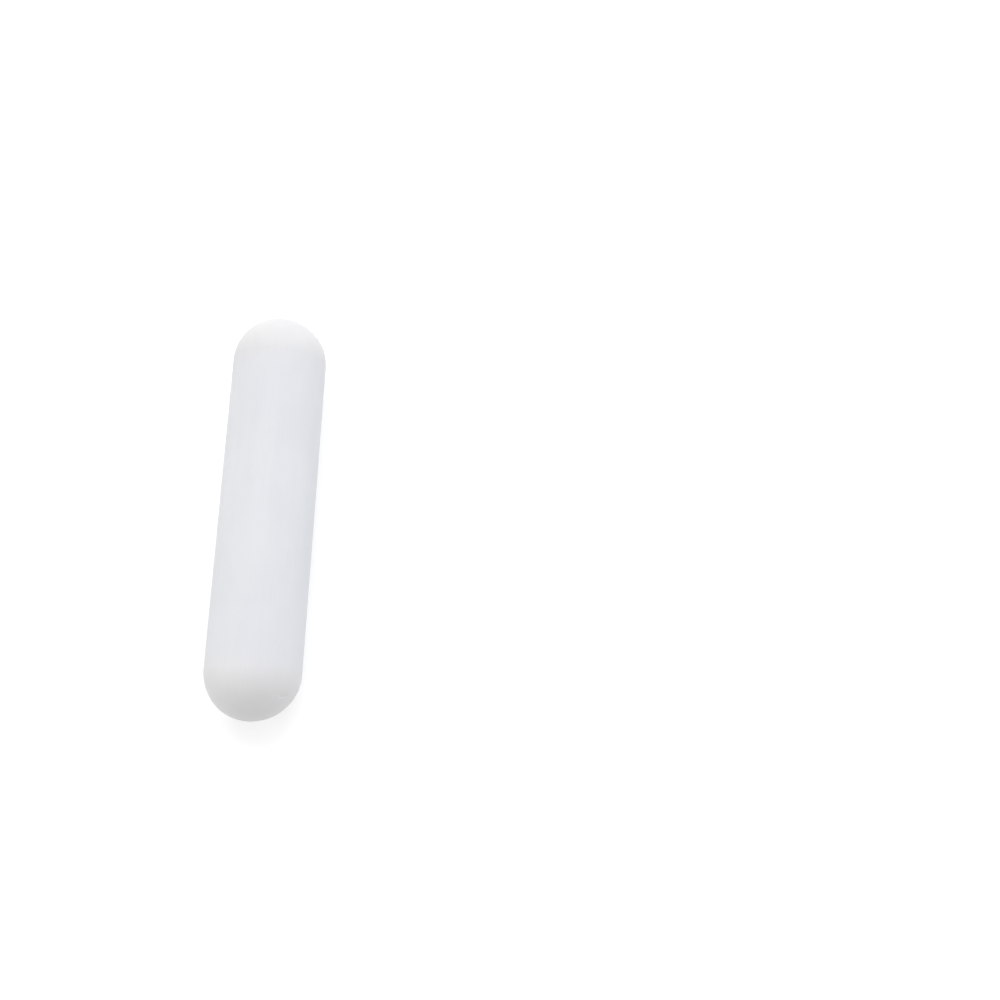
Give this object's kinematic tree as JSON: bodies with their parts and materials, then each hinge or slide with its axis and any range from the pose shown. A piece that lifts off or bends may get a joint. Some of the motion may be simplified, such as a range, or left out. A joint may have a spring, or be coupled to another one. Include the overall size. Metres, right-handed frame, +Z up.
{
  "type": "magnetic stir bar",
  "caption": "White rod-shaped stir bar with hemispherical ends: a rod magnet sealed in a smooth moulded jacket, spun in a vessel by a magnetic stirrer.",
  "frame": {"origin": "centre of the bar, on its axis halfway between the two tips", "axes": "+Y along the bar's axis; +Z up, square to the plane in which the two halves of the mould met; +X across the bar, in that plane"},
  "size_m": [0.0082, 0.0352, 0.008],
  "materials": {
    "ptfe": "satin, as moulded and sintered, cool white",
    "alnico": "as cast, matt grey"
  },
  "bodies": {
    "root": {"ptfe_jacket": "ptfe", "magnet_core": "alnico"}
  },
  "joints": []
}
